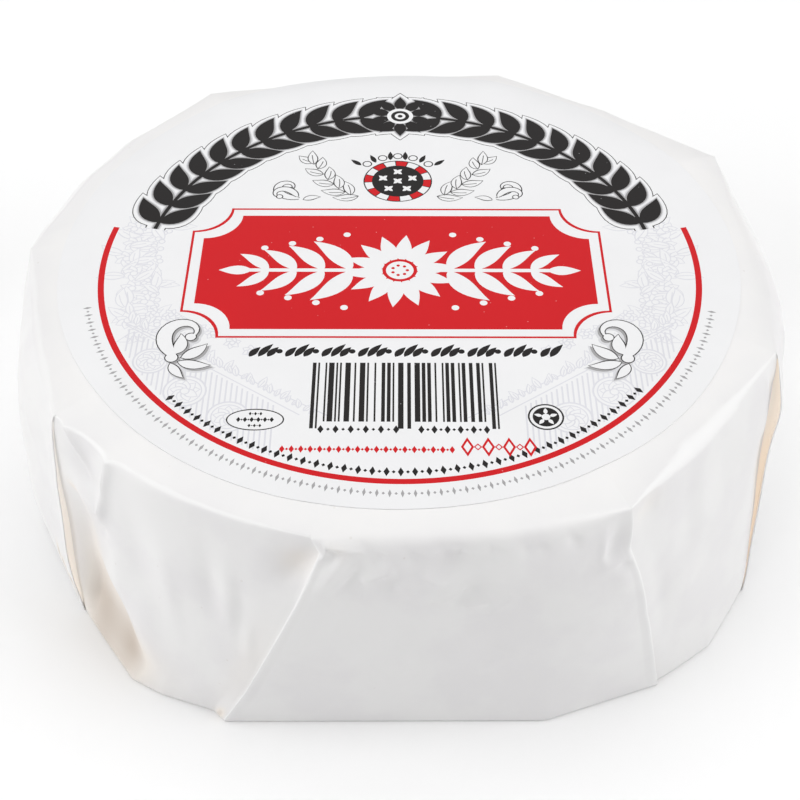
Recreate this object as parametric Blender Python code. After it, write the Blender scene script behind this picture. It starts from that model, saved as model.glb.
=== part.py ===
"""A small soft cheese, whole and shut in its white paper, with a round paper label on top.

The paper is one sheet: an eight-cornered top, four broad panels folded down over four narrow
ones, and an underside where the folds end. The narrow panels lie lower than the broad ones,
and every broad panel ends in a folded edge that stands a little proud.
Metres, +Z up, the origin in the middle of the underside.
"""
import bmesh
import bpy
import numpy as np

MM = 0.001

# The cheese in its paper
HEIGHT = 27.0 * MM              # floor to the face of the label
RIM_DROP = 1.2 * MM             # the top edge of the sides lies this far below the label's face
LABEL_RADIUS = 35.0 * MM
LABEL_THICKNESS = 0.3 * MM
TOUCHING_GAP = 0.3 * MM         # between the paper and the label
LABEL_OFFSET = (-0.1 * MM, 1.4 * MM)    # the label sits a little towards the back
BASE_ROUNDING = 0.9 * MM        # the fold round the foot of the sides
FOOT_TURNS = (40, 70, 90)       # degrees round that fold at which a ring of points lies
SHOULDER = 0.10                 # share of the height in which the sides round over
SHOULDER_SHARE = 0.70           # of the way out, the part that lies in that rounding
SWING_POWER = 0.6               # below 1, so that a fold swings out most above its middle
DROP_START = 0.90               # the share of the way to the rim at which the top begins to fall
DROP_POWER = 1.6                # above 1, so that it falls ever more steeply

# The eight folded edges, in order round the cheese, in degrees and millimetres: the corner at
# the top edge, the place where the fold meets the floor, and how far the fold swings out
# sideways between them, in degrees.
FOLDS = {
    "front_left_far": ((213.5, 38.5), (216.5, 40.8), 0.0),
    "front_left_near": ((257.5, 37.0), (245.5, 41.5), 2.4),
    "front_right_near": ((301.7, 38.5), (307.0, 42.2), 0.6),
    "front_right_far": ((341.3, 38.8), (329.2, 42.1), 0.0),
    "back_right_far": ((389.9, 41.2), (398.0, 41.9), 0.8),
    "back_right_near": ((432.2, 38.9), (422.0, 41.6), -1.0),
    "back_left_near": ((484.5, 40.0), (495.0, 41.8), 1.2),
    "back_left_far": ((534.5, 39.1), (525.0, 41.6), -0.6),
}
EDGE_BELLY = 0.4                # share of the sides' roundness that the folded edges keep
STEP_SLANT = 0.25               # degrees at the floor that keep the step beside a fold off the square

# The panels between the folds: (broad or narrow, bulge of the top edge in millimetres,
# bends of the foot as degrees and millimetres)
PANELS = (
    ("narrow", 1.9, ((230.8, 42.3), (235.8, 41.9), (243.4, 40.9))),
    ("broad", 2.1, ((290.4, 40.3),)),
    ("narrow", 0.4, ((317.4, 42.6),)),
    ("broad", 1.8, ((352.0, 41.2), (376.0, 41.0))),
    ("narrow", 1.3, ((410.0, 42.0),)),
    ("broad", 1.3, ((440.0, 39.6), (475.0, 39.6))),
    ("narrow", 2.8, ((510.0, 42.0),)),
    ("broad", 0.6, ((540.0, 41.0), (557.0, 40.9))),
)

LAP_TOP = 0.15 * MM             # how far a broad panel stands proud, at its top corner
LAP_FOOT = 0.90 * MM            # and at the floor
# Hollows in the narrow panels: (panel, place across, place down, half widths, depth in mm)
HOLLOWS = (
    (0, 0.02, 0.42, 0.14, 0.36, 1.8),
    (0, 0.14, 0.74, 0.18, 0.22, 2.4),
    (0, 0.95, 0.14, 0.12, 0.12, 1.4),
    (2, 0.98, 0.50, 0.12, 0.42, 1.2),
    (4, 0.04, 0.55, 0.14, 0.40, 1.2),
    (6, 0.96, 0.60, 0.16, 0.34, 1.4),
)

STEPS_BROAD, STEPS_NARROW = 22, 14      # faces across a panel
WALL_ROWS = 16                  # faces down the sides
ROW_POWER = 1.25                # above 1, so that the rows lie closer near the top edge
LABEL_SIDES = 120
SHARP_ANGLE = 30                # degrees between two faces from which their edge is sharp
TOP_RINGS = (0.985, 0.955, 0.90)        # rings of the top, as shares of the rim's radius
UNDER_RINGS = (0.80, 0.45)      # rings of the underside
# The two papers: colour, roughness, and how much of a clear coat lies on them
WRAPPER_PAPER = ((0.86, 0.85, 0.84, 1.0), 0.42, 0.15)
LABEL_PAPER = ((0.87, 0.87, 0.89, 1.0), 0.40, 0.10)


def clear_scene():
    for obj in list(bpy.data.objects):
        bpy.data.objects.remove(obj, do_unlink=True)


def chord_radius(angle, start, end):
    """Where the ray at this angle crosses the straight line between two (degrees, radius)."""
    (first, inner), (last, outer) = start, end
    ahead = np.radians(angle - first)
    behind = np.radians(last - angle)
    across = np.sin(np.radians(last - first))
    return inner * outer * across / (inner * np.sin(ahead) + outer * np.sin(behind))


def outline_radius(angles, corners):
    """The radius of a line that runs straight from corner to corner."""
    radius = np.empty_like(angles)
    for start, end in zip(corners[:-1], corners[1:]):
        inside = (angles >= start[0] - 1e-6) & (angles <= end[0] + 1e-6)
        radius[inside] = chord_radius(angles[inside], start, end)
    return radius


def panel_wall(index, down):
    """One panel's points at each share of the way down: arrays of angle and radius."""
    folds = list(FOLDS.values())
    rim_start, foot_start, swing_start = folds[index]
    rim_end, foot_end, swing_end = folds[(index + 1) % len(folds)]
    if index == len(folds) - 1:
        rim_end = (rim_end[0] + 360, rim_end[1])
        foot_end = (foot_end[0] + 360, foot_end[1])
    kind, bulge, bends = PANELS[index]
    across = np.linspace(0, 1, (STEPS_BROAD if kind == "broad" else STEPS_NARROW) + 1)

    rim_angle = rim_start[0] + across * (rim_end[0] - rim_start[0])
    rim = outline_radius(rim_angle, [rim_start, rim_end]) * MM
    rim = rim + bulge * MM * np.sin(np.pi * across)
    foot_angle = foot_start[0] + across * (foot_end[0] - foot_start[0])
    foot = outline_radius(foot_angle, [foot_start, *bends, foot_end]) * MM

    rounded = SHOULDER_SHARE * (1 - np.exp(-down / SHOULDER)) + (1 - SHOULDER_SHARE) * down
    middle = np.sqrt(np.sin(np.pi * across))
    belly = EDGE_BELLY + (1 - EDGE_BELLY) * middle
    out = (1 - belly) * down[:, None] + belly * rounded[:, None]
    swing = (swing_start + (swing_end - swing_start) * across)
    swing = swing * np.sin(np.pi * down[:, None] ** SWING_POWER)
    angle = rim_angle + (foot_angle - rim_angle) * down[:, None] + swing
    radius = rim + (foot - rim) * out
    if kind == "narrow":
        radius = radius - (1 - middle) * (LAP_TOP + (LAP_FOOT - LAP_TOP) * down[:, None])
        for panel, place, level, half_width, half_height, depth in HOLLOWS:
            if panel == index:
                reach = ((across - place) / half_width) ** 2
                height = ((down[:, None] - level) / half_height) ** 2
                radius = radius - depth * MM * np.exp(-reach - height) * (1 - down[:, None] ** 8)
    return angle, radius


def wall_sections():
    """The sides as arrays of angle and radius, a row for each level and a column for each
    point round the cheese. A narrow panel's end columns lie behind the broad panels' edges."""
    down = np.linspace(0, 1, WALL_ROWS + 1) ** ROW_POWER
    angles, radii = [], []
    for index, (kind, *_) in enumerate(PANELS):
        angle, radius = panel_wall(index, down)
        if kind == "narrow":
            behind = STEP_SLANT * down[:, None]
            angle = angle + behind * np.linspace(1, -1, angle.shape[1])
        angles.append(angle)
        radii.append(radius)
    return np.hstack(angles), np.hstack(radii), down


def drop_at(radius, rim):
    """How far the paper lies below the label's seat: nothing inside, all of it at the rim."""
    share = np.clip((radius / rim - DROP_START) / (1 - DROP_START), 0, 1)
    seat = LABEL_THICKNESS + TOUCHING_GAP
    return seat + (RIM_DROP - seat) * share ** DROP_POWER


def wrapper_rings():
    """The rings of the wrapper from the middle of its top to the middle of its underside."""
    angle, radius, down = wall_sections()
    rim_angle, rim_radius = angle[0], radius[0]
    rings = []
    for share in reversed(TOP_RINGS):
        ring = rim_radius * share
        rings.append((rim_angle, ring, HEIGHT - drop_at(ring, rim_radius)))
    wall_height = HEIGHT - RIM_DROP - BASE_ROUNDING
    for row, level in enumerate(down):
        z = np.full_like(rim_angle, HEIGHT - RIM_DROP - wall_height * level)
        rings.append((angle[row], radius[row], z))
    foot_angle, foot = angle[-1], radius[-1]
    for turn in FOOT_TURNS:
        inward = BASE_ROUNDING * (1 - np.cos(np.radians(turn)))
        z = BASE_ROUNDING * (1 - np.sin(np.radians(turn)))
        rings.append((foot_angle, foot - inward, np.full_like(foot, z)))
    for share in UNDER_RINGS:
        rings.append((foot_angle, foot * share, np.zeros_like(foot)))
    return rings


def loft(name, rings):
    """A closed mesh through rings of points, with a fan of faces at each end."""
    mesh = bmesh.new()
    rows = []
    for angle, radius, z in rings:
        x = radius * np.cos(np.radians(angle))
        y = radius * np.sin(np.radians(angle))
        rows.append([mesh.verts.new(point) for point in zip(x, y, z)])
    count = len(rows[0])
    for upper, lower in zip(rows[:-1], rows[1:]):
        for here in range(count):
            there = (here + 1) % count
            mesh.faces.new((upper[here], lower[here], lower[there], upper[there]))
    for ring, facing_up in ((rows[0], True), (rows[-1], False)):
        middle = mesh.verts.new((0, 0, ring[0].co.z))
        for here in range(count):
            there = (here + 1) % count
            face = (middle, ring[here], ring[there]) if facing_up else (middle, ring[there], ring[here])
            mesh.faces.new(face)
    bmesh.ops.recalc_face_normals(mesh, faces=mesh.faces)
    data = bpy.data.meshes.new(name)
    mesh.to_mesh(data)
    mesh.free()
    return data


def centre_of(data):
    """The middle of a mesh in plan."""
    points = np.array([vertex.co for vertex in data.vertices])
    return (points.min(axis=0) + points.max(axis=0))[:2] / 2


def paper(name, colour, roughness, coat):
    material = bpy.data.materials.new(name)
    material.use_nodes = True
    shader = material.node_tree.nodes["Principled BSDF"]
    shader.inputs["Base Color"].default_value = colour
    shader.inputs["Roughness"].default_value = roughness
    shader.inputs["Metallic"].default_value = 0.0
    shader.inputs["Coat Weight"].default_value = coat
    return material


def make_wrapper(collection):
    """The cheese in its paper, moved so that its box stands centred on the origin."""
    data = loft("wrapper", wrapper_rings())
    middle = centre_of(data)
    for vertex in data.vertices:
        vertex.co.x -= middle[0]
        vertex.co.y -= middle[1]
    data.shade_smooth()
    data.set_sharp_from_angle(angle=np.radians(SHARP_ANGLE))
    data.materials.append(paper("glazed_paper", *WRAPPER_PAPER))
    wrapper = bpy.data.objects.new("wrapper", data)
    collection.objects.link(wrapper)
    return -middle


def make_label(collection, label_middle):
    """A thin round label, laid flat on the paper with the gap that touching pieces keep."""
    bpy.ops.mesh.primitive_cylinder_add(vertices=LABEL_SIDES, radius=LABEL_RADIUS, depth=LABEL_THICKNESS)
    label = bpy.context.object
    label.name = label.data.name = "label"
    label.location = (*label_middle, HEIGHT - LABEL_THICKNESS / 2)
    label.data.materials.append(paper("label_paper", *LABEL_PAPER))
    for holder in list(label.users_collection):
        holder.objects.unlink(label)
    collection.objects.link(label)


def build():
    clear_scene()
    collection = bpy.data.collections.new("wrapped_cheese")
    bpy.context.scene.collection.children.link(collection)
    print_centre = make_wrapper(collection)
    make_label(collection, print_centre + np.array(LABEL_OFFSET))


build()
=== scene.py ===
from math import cos, pi, radians, sin

import bpy
import numpy as np
from mathutils import Matrix, Vector
from mathutils.geometry import delaunay_2d_cdt


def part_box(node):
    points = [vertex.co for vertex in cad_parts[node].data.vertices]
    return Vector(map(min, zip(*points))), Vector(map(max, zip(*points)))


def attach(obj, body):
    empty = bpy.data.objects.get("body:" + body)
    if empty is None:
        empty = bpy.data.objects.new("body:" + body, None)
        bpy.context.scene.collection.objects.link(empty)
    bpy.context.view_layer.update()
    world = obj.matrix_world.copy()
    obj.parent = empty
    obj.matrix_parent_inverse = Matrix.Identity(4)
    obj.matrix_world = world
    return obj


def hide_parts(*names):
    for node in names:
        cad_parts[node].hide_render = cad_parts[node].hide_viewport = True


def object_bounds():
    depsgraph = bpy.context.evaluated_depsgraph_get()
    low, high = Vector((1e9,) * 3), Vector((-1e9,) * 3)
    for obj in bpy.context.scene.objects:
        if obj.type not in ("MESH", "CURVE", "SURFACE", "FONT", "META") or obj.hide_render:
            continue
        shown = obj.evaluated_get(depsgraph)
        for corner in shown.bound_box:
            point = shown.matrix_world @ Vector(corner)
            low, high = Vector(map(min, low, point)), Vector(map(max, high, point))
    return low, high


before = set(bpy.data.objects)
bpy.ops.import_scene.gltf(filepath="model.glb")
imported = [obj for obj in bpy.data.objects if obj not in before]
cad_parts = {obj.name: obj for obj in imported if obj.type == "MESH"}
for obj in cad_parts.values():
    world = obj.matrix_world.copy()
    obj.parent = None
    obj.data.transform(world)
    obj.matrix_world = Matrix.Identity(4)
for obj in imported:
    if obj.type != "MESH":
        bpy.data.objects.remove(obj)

cad_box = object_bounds()
MM = 0.001

# Where the wrapped cheese stands. It is a small soft cheese, 27 mm high, shut in its paper. Every
# measure of the print and the folds is taken from the middle of the printed ring, which the label
# carries a little towards the front of its own middle.
LABEL_LOW, LABEL_HIGH = (Vector(corner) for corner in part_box("label"))
LABEL_MIDDLE = (LABEL_LOW + LABEL_HIGH) / 2
LABEL_RADIUS = (LABEL_HIGH.x - LABEL_LOW.x) / 2
PRINT_OFFSET = (0.1 * MM, -1.4 * MM)        # the print's middle from the label's
PRINT_X = LABEL_MIDDLE.x + PRINT_OFFSET[0]
PRINT_Y = LABEL_MIDDLE.y + PRINT_OFFSET[1]
TOP = LABEL_HIGH.z                          # the label's face
RING = 0.88 * LABEL_RADIUS                  # outer radius of the printed ring

# The camera and the light. The photograph is taken from in front, about 39 degrees above the
# table, with a lens of moderate length, in a bright tent that leaves hardly any shadow.
LENS, SENSOR_WIDTH = 67.5, 36.0             # millimetres
CAMERA_STAND = (0.0014, -3.8949, 3.1857)    # from the ring's middle, in ring radii
CAMERA_PITCH, CAMERA_ROLL = 44.558, 0.101   # degrees
FLOOR_REACH = 3.0                           # metres, enough to fill every view
TENT_GLOW = 0.15                            # strength of the white light from all sides
# The lamps: name, width and height in metres, watts, place, and the height that each is aimed at.
LAMPS = (
    ("overhead", (0.9, 0.9), 3.85, (0.0, 0.10, 0.75), 0.0),
    ("left", (0.5, 0.5), 1.8, (-0.60, -0.10, 0.28), 0.01),
    ("right", (0.5, 0.5), 2.25, (0.60, -0.12, 0.28), 0.01),
    ("front_left", (0.4, 0.4), 0.78, (-0.42, -0.48, 0.35), 0.01),
    ("back", (0.8, 0.4), 0.85, (0.0, 0.60, 0.40), 0.01),
)


def place_camera():
    """The camera looks ahead and down by the pitch, and is turned round that direction by the roll."""
    camera = bpy.data.cameras.new("camera")
    camera.sensor_width = SENSOR_WIDTH
    camera.lens = LENS
    camera.clip_start = 0.01
    holder = bpy.data.objects.new("camera", camera)
    bpy.context.scene.collection.objects.link(holder)
    pitch, roll = radians(CAMERA_PITCH), radians(CAMERA_ROLL)
    right = Vector((1, 0, 0))
    ahead = Vector((0, cos(pitch), -sin(pitch)))
    up = Vector((0, sin(pitch), cos(pitch)))
    right, up = cos(roll) * right + sin(roll) * up, cos(roll) * up - sin(roll) * right
    turn = Matrix((right, up, -ahead)).transposed().to_4x4()
    stand = Vector((PRINT_X, PRINT_Y, TOP)) + RING * Vector(CAMERA_STAND)
    holder.matrix_world = Matrix.Translation(stand) @ turn
    bpy.context.scene.camera = holder


def soft_lamp(name, size, watts, place, aim_height):
    """A white rectangle of light at a place, turned towards a point over the middle of the floor."""
    lamp = bpy.data.lights.new(name, "AREA")
    lamp.shape = "RECTANGLE"
    lamp.size, lamp.size_y = size
    lamp.energy = watts
    holder = bpy.data.objects.new(name, lamp)
    bpy.context.scene.collection.objects.link(holder)
    holder.location = place
    towards = Vector((0, 0, aim_height)) - Vector(place)
    holder.rotation_euler = towards.to_track_quat("-Z", "Y").to_euler()


def lay_floor():
    """One flat square under the cheese."""
    mesh = bpy.data.meshes.new("floor")
    corners = [(x * FLOOR_REACH, y * FLOOR_REACH, 0) for x, y in ((-1, -1), (1, -1), (1, 1), (-1, 1))]
    mesh.from_pydata(corners, [], [(0, 1, 2, 3)])
    floor = bpy.data.objects.new("floor", mesh)
    bpy.context.scene.collection.objects.link(floor)
    material = bpy.data.materials.new("floor_white")
    material.use_nodes = True
    shader = material.node_tree.nodes["Principled BSDF"]
    shader.inputs["Base Color"].default_value = (0.95, 0.95, 0.95, 1)
    shader.inputs["Roughness"].default_value = 0.9
    shader.inputs["Specular IOR Level"].default_value = 0.1
    mesh.materials.append(material)


place_camera()
lay_floor()
for lamp in LAMPS:
    soft_lamp(*lamp)
world = bpy.data.worlds.new("tent")
world.use_nodes = True
world.node_tree.nodes["Background"].inputs["Color"].default_value = (1, 1, 1, 1)
world.node_tree.nodes["Background"].inputs["Strength"].default_value = TENT_GLOW
bpy.context.scene.world = world
bpy.context.scene.view_settings.view_transform = "Standard"
bpy.context.scene.view_settings.look = "None"


# The wrapping paper is one sheet of thin glazed paper, waxed on its face. It lies flat on the top,
# turns down over an eight-cornered edge, and is folded so that four broad panels lap over four
# narrow ones. At each of the eight folds it turns back under itself in a pleat.
RIM_DROP = 1.2 * MM             # how far the top edge lies under the label's face
FOOT_ROUNDING = 0.45 * MM
EDGE_BELLY = 0.35               # the share of a broad panel's shoulder that all folded edges keep
FOLD_BLEND = {"broad": 0.5, "narrow": 0.35}     # the power of the sine by which a panel leaves them
FOLD_THICKNESS = 0.16 * MM      # two layers of paper at a folded edge
PLEAT_DEPTH = 3.0 * MM          # how far a pleat is tucked back under its panel at the floor
# The shoulder under the top edge: the share of the height that it takes, and the share of the way
# out that lies in it. A broad panel bends softly there, and a narrow one is creased and flat.
SHOULDERS = {"broad": (0.10, 0.70), "narrow": (0.04, 0.12)}

# Each fold: its corner at the top edge and its end at the floor as degrees and millimetres from
# the print's middle, how far it strays sideways at SWING_STEPS of the way down, in degrees, and
# how far the panel that laps over stands off the one below at the floor, in millimetres.
SWING_STEPS = (0, 0.05, 0.15, 0.3, 0.45, 0.6, 0.8, 1)
FOLDS = (
    ((213.5, 38.5), (216.5, 40.8), (0, 0, 0, 0, 0, 0, 0, 0), 0.25),
    ((257.5, 37.0), (245.5, 41.5), (0.5, 2.5, 2.4, 2.3, 2.0, 1.65, 1.25, 0.3), 0.10),
    ((301.7, 38.5), (307.0, 42.2), (0.6, 0, -1.3, -0.4, 0.1, 0.4, 0.5, 0.5), 0.60),
    ((341.3, 38.8), (329.2, 42.1), (0, 0, 0, 0, 0, 0, 0, 0), 0.25),
    ((389.9, 41.2), (398.0, 41.9), (0, 0.4, 0.7, 0.8, 0.75, 0.6, 0.3, 0), 0.30),
    ((432.2, 38.9), (422.0, 41.6), (0, -0.5, -0.8, -1.0, -0.9, -0.7, -0.4, 0), 0.20),
    ((484.5, 40.0), (495.0, 41.8), (0, 0.7, 1.0, 1.2, 1.1, 0.9, 0.5, 0), 0.20),
    ((534.5, 39.1), (525.0, 41.6), (0, -0.3, -0.5, -0.6, -0.5, -0.4, -0.2, 0), 0.30),
)
FOOT_SOFTENING = np.arange(-7, 8, 2)    # degrees over which a bend of the foot softens higher up
SHARP_SIDE = 0.025              # the share of a panel beside each fold where it doesn't
LAP_TOP = 0.06                  # the lap at the top edge, in millimetres
# Each panel after its fold: broad or narrow, the bulge of its top edge in millimetres, and the
# bends of its foot as degrees and millimetres.
PANELS = (
    ("narrow", 1.9, ((230.8, 42.3), (235.8, 41.9), (243.4, 40.9))),
    ("broad", 2.1, ((290.4, 40.3),)),
    ("narrow", 0.4, ((317.4, 42.6),)),
    ("broad", 1.8, ((352.0, 41.2), (376.0, 41.0))),
    ("narrow", 1.3, ((410.0, 42.0),)),
    ("broad", 1.3, ((440.0, 39.6), (475.0, 39.6))),
    ("narrow", 2.8, ((510.0, 42.0),)),
    ("broad", 0.6, ((540.0, 41.0), (557.0, 40.9))),
)


def fold_at(index):
    """The fold of that number, which goes on counting past a full turn, as its angles do."""
    turns, index = divmod(index, len(FOLDS))
    (rim_angle, rim), (foot_angle, foot), swing, lap = FOLDS[index]
    return (rim_angle + 360 * turns, rim), (foot_angle + 360 * turns, foot), swing, lap


def polygon_radius(angles, corners):
    """The radius of a line that runs straight from corner to corner, at each angle: a ray at angle
    a meets the chord from (a0, r0) to (a1, r1) at r0 r1 sin(a1-a0) / (r0 sin(a-a0) + r1 sin(a1-a))."""
    radius = np.empty_like(angles)
    for number, ((first, inner), (last, outer)) in enumerate(zip(corners[:-1], corners[1:])):
        inside = np.ones(angles.shape, bool)
        if number > 0:
            inside &= angles >= first
        if number < len(corners) - 2:
            inside &= angles < last
        ahead, behind = np.radians(angles[inside] - first), np.radians(last - angles[inside])
        across = sin(radians(last - first))
        radius[inside] = inner * outer * across / (inner * np.sin(ahead) + outer * np.sin(behind))
    return radius


def shoulder(down, kind):
    """The share of the way out at each share of the way down: an exponential turn and a slope."""
    height, share = SHOULDERS[kind]
    return share * (1 - np.exp(-down / height)) + (1 - share) * down


def flat_panel(index, across, down):
    """Angle in degrees and radius in metres on a panel without its lap and its creases: between
    the outline of the top edge and that of the foot, partly by a rounded shoulder, and at the
    folds by a profile that both neighbours share. The bends of the foot are sharp at the floor, by
    an eighth power, and beside the folds, and elsewhere each is averaged over some degrees."""
    across, down = np.broadcast_arrays(across, down)
    rim_start, foot_start, swing_start, _ = fold_at(index)
    rim_end, foot_end, swing_end, _ = fold_at(index + 1)
    kind, bulge, bends = PANELS[index % len(PANELS)]
    inside = np.clip(across, 0, 1)
    rim_angle = rim_start[0] + across * (rim_end[0] - rim_start[0])
    rim = (polygon_radius(rim_angle, [rim_start, rim_end]) + bulge * np.sin(pi * inside)) * MM
    foot_angle = foot_start[0] + across * (foot_end[0] - foot_start[0])
    corners = [foot_start, *bends, foot_end]
    foot = polygon_radius(foot_angle, corners)
    softer = sum(polygon_radius(np.clip(foot_angle + turn, foot_start[0], foot_end[0]), corners)
                 for turn in FOOT_SOFTENING) / len(FOOT_SOFTENING)
    soften = np.clip(np.minimum(inside, 1 - inside) / SHARP_SIDE, 0, 1) * (1 - down ** 8)
    foot = (foot + (softer - foot) * soften) * MM
    fold_out = (1 - EDGE_BELLY) * down + EDGE_BELLY * shoulder(down, "broad")
    middle = np.clip(np.sin(pi * inside), 0, 1) ** FOLD_BLEND[kind]
    out = fold_out + (shoulder(down, kind) - fold_out) * middle
    start, end = (np.interp(down, SWING_STEPS, swing) for swing in (swing_start, swing_end))
    swing = start + (end - start) * across
    return rim_angle + (foot_angle - rim_angle) * down + swing, rim + (foot - rim) * out


def lap_depth(index, across, down):
    """How far a narrow panel lies inside, in millimetres: its laps, which rise from the middle of
    the panel to its folds as 1 minus the square root of a sine, and grow with the third power of
    the way down."""
    near, far = fold_at(index)[3], fold_at(index + 1)[3]
    lap = near + (far - near) * across
    rise = 1 - np.sqrt(np.clip(np.sin(pi * np.clip(across, 0, 1)), 0, 1))
    return rise * (LAP_TOP + (lap - LAP_TOP) * down ** 3)


def bump(across, down, middle, widths, slant=0.0):
    """A smooth hill of height 1: exp of minus the squared distance in half widths, with its long
    side slanted by so many across for each down."""
    far = (across - middle[0] - slant * (down - middle[1])) / widths[0]
    return np.exp(-far ** 2 - ((down - middle[1]) / widths[1]) ** 2)


def crease(across, down, start, end, width):
    """A folded line of height 1 from start to end: a sharp ridge that falls off as exp(-distance),
    and fades out towards both ends."""
    run = np.array([end[0] - start[0], end[1] - start[1]])
    length = np.hypot(*run)
    along = ((across - start[0]) * run[0] + (down - start[1]) * run[1]) / length ** 2
    beside = ((across - start[0]) * run[1] - (down - start[1]) * run[0]) / length
    past = np.clip(np.abs(along - 0.5) - 0.5, 0, None) * length
    fade = np.clip(1 - (2 * along - 1) ** 4, 0, 1)
    return np.exp(-np.hypot(beside, past) / width) * fade


def step_at(distance, softness):
    """0 on one side and 1 on the other, by a smooth step round distance 0."""
    share = np.clip(distance / softness + 0.5, 0, 1)
    return share * share * (3 - 2 * share)


def add_forms(height, forms, across, down):
    """Adds the forms of a table to a height: so many millimetres of each bump or crease."""
    for tall, form, *measures in forms:
        height = height + tall * form(across, down, *measures)
    return height


# The bumps and creases of the front panels, each with its height in millimetres and the measures
# that its function takes.
FRONT_LEFT_FORMS = (
    (0.80, crease, (0.27, -0.10), (0.235, 0.36), 0.022),
    (-0.50, bump, (0.15, 0.12), (0.06, 0.10), 0.15),
    (0.45, crease, (0.02, -0.04), (0.19, 0.17), 0.020),
    (0.75, bump, (0.165, 0.235), (0.070, 0.055), 0.25),
    (0.40, crease, (0.13, 0.29), (0.22, 0.29), 0.016),
    (-0.45, bump, (0.215, 0.38), (0.035, 0.040)),
    (0.22, bump, (0.31, 0.40), (0.06, 0.20), 0.1),
    (-0.22, bump, (0.42, 0.34), (0.06, 0.22), 0.25),
    (0.18, bump, (0.57, 0.45), (0.04, 0.20), 0.30),
    (-0.24, bump, (0.70, 0.30), (0.045, 0.16), 0.30),
    (0.24, bump, (0.78, 0.36), (0.035, 0.14), 0.30),
    (-0.20, bump, (0.85, 0.42), (0.035, 0.12), 0.35),
    (0.22, bump, (0.90, 0.52), (0.030, 0.10), 0.35),
    (-0.18, bump, (0.60, 0.74), (0.09, 0.10)),
    (0.16, bump, (0.47, 0.62), (0.05, 0.09)),
    (-0.80, bump, (0.965, 0.125), (0.070, 0.090), -0.25),
    (-0.22, bump, (0.885, 0.085), (0.055, 0.060)),
    (0.40, crease, (0.40, 0.94), (0.60, 0.97), 0.030),
    (0.30, bump, (0.80, 0.90), (0.05, 0.05)),
)
FRONT_FACETS = (
    (0.14, crease, (0.005, 0.07), (0.050, 0.005), 0.014),
    (-0.10, bump, (0.048, 0.055), (0.022, 0.035)),
    (0.20, crease, (0.03, 0.02), (0.15, 0.035), 0.010),
    (0.20, bump, (0.065, 0.14), (0.030, 0.09), -0.1),
    (-0.24, bump, (0.130, 0.15), (0.045, 0.10), -0.12),
    (0.14, crease, (0.07, 0.22), (0.13, 0.10), 0.024),
    (0.18, crease, (0.125, 0.22), (0.135, 0.44), 0.022),
    (0.22, crease, (0.16, 0.16), (0.25, 0.10), 0.022),
    (-0.14, bump, (0.25, 0.18), (0.045, 0.05), 0.4),
    (0.20, crease, (0.27, 0.17), (0.34, 0.24), 0.022),
    (0.18, crease, (0.33, 0.12), (0.42, 0.20), 0.022),
    (-0.26, bump, (0.42, 0.10), (0.10, 0.05), 0.3),
    (0.18, crease, (0.40, 0.30), (0.49, 0.21), 0.022),
    (-0.22, bump, (0.52, 0.24), (0.06, 0.07), -0.3),
    (0.20, crease, (0.47, 0.32), (0.56, 0.30), 0.018),
    (0.18, crease, (0.55, 0.38), (0.63, 0.27), 0.022),
    (0.12, bump, (0.62, 0.16), (0.05, 0.06)),
    (-0.18, bump, (0.31, 0.50), (0.07, 0.12)),
    (0.16, crease, (0.26, 0.62), (0.33, 0.74), 0.025),
    (0.14, crease, (0.34, 0.55), (0.38, 0.70), 0.025),
    (-0.12, bump, (0.58, 0.56), (0.07, 0.10)),
    (0.14, crease, (0.54, 0.72), (0.62, 0.60), 0.025),
    (0.09, bump, (0.46, 0.62), (0.06, 0.12)),
)
FACET_HEIGHT = 2.2
FRONT_DIMPLE = (
    (-0.46, bump, (0.950, 0.105), (0.032, 0.065), -0.15),
    (0.22, bump, (0.905, 0.12), (0.014, 0.060)),
    (0.30, bump, (0.950, 0.185), (0.050, 0.030), -1.0),
    (-0.22, bump, (0.960, 0.215), (0.024, 0.030)),
    (0.14, bump, (0.945, 0.30), (0.030, 0.08)),
)
FRONT_RIGHT_FORMS = (
    (-0.50, bump, (0.10, 0.08), (0.09, 0.06)),
    (0.08, crease, (0.17, -0.02), (0.165, 0.13), 0.018),
    (-0.16, bump, (0.33, 0.22), (0.05, 0.18), -0.15),
    (0.14, bump, (0.42, 0.26), (0.05, 0.18), -0.1),
    (-0.18, bump, (0.58, 0.22), (0.07, 0.13)),
    (0.30, crease, (0.90, 0.02), (0.93, 0.30), 0.025),
    (-0.22, bump, (0.10, 0.50), (0.06, 0.22)),
    (0.12, bump, (0.30, 0.62), (0.08, 0.16)),
)
# The right and the left panel: the share of their random dents that is kept, and forms to add.
SIDE_FORMS = {
    3: (0.7, ((0.5, bump, (0.0, 0.22), (0.06, 0.10)),)),
    7: (0.5, ((0.5, bump, (1.0, 0.55), (0.08, 0.5)), (1.1, bump, (0.72, 0.66), (0.26, 0.34)))),
}


def front_left_relief(across, down):
    """The narrow panel at the front left. It sinks in beside the far fold, most at the foot, under
    a crumpled bag that hangs over, and has slack ripples, and a shallow hollow by the near fold."""
    line = np.interp(down, [0, 0.3, 0.6, 0.9, 1], [0.02, 0.14, 0.22, 0.50, 0.56])
    deep = np.interp(down, [0, 0.27, 0.33, 0.6, 0.86, 0.96, 1], [0.0, 0.05, 0.8, 1.4, 2.7, 2.0, 0])
    height = -deep * step_at(line - across, 0.28) * (0.06 + 0.94 * step_at(across - 0.05, 0.10))
    return add_forms(height, FRONT_LEFT_FORMS, across, down)


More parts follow.
